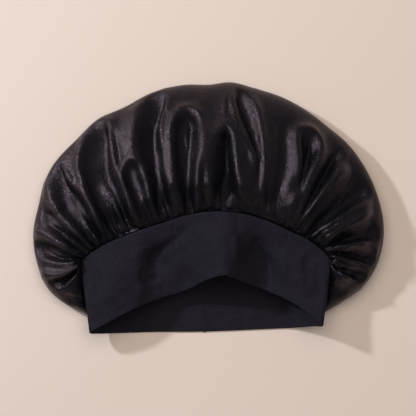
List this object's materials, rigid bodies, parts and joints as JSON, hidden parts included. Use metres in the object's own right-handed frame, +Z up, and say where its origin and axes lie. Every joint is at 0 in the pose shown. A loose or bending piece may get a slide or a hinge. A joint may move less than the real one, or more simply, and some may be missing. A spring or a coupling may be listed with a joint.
{
  "type": "sleep bonnet",
  "caption": "Black sleep bonnet with a full gathered satin crown on a wide stretch band, lying on its back with the opening lifted.",
  "frame": {"origin": "the middle of the footprint, on the surface that the bonnet lies on", "axes": "+X across the bonnet, +Y from the hem of the band to the far edge of the crown, +Z up from the surface"},
  "size_m": [0.3486, 0.2506, 0.0627],
  "materials": {
    "satin": "black charmeuse satin, polyester",
    "knit": "black double-layer stretch knit, matte"
  },
  "bodies": {
    "root": {"crown": "satin", "band": "knit"}
  },
  "joints": []
}
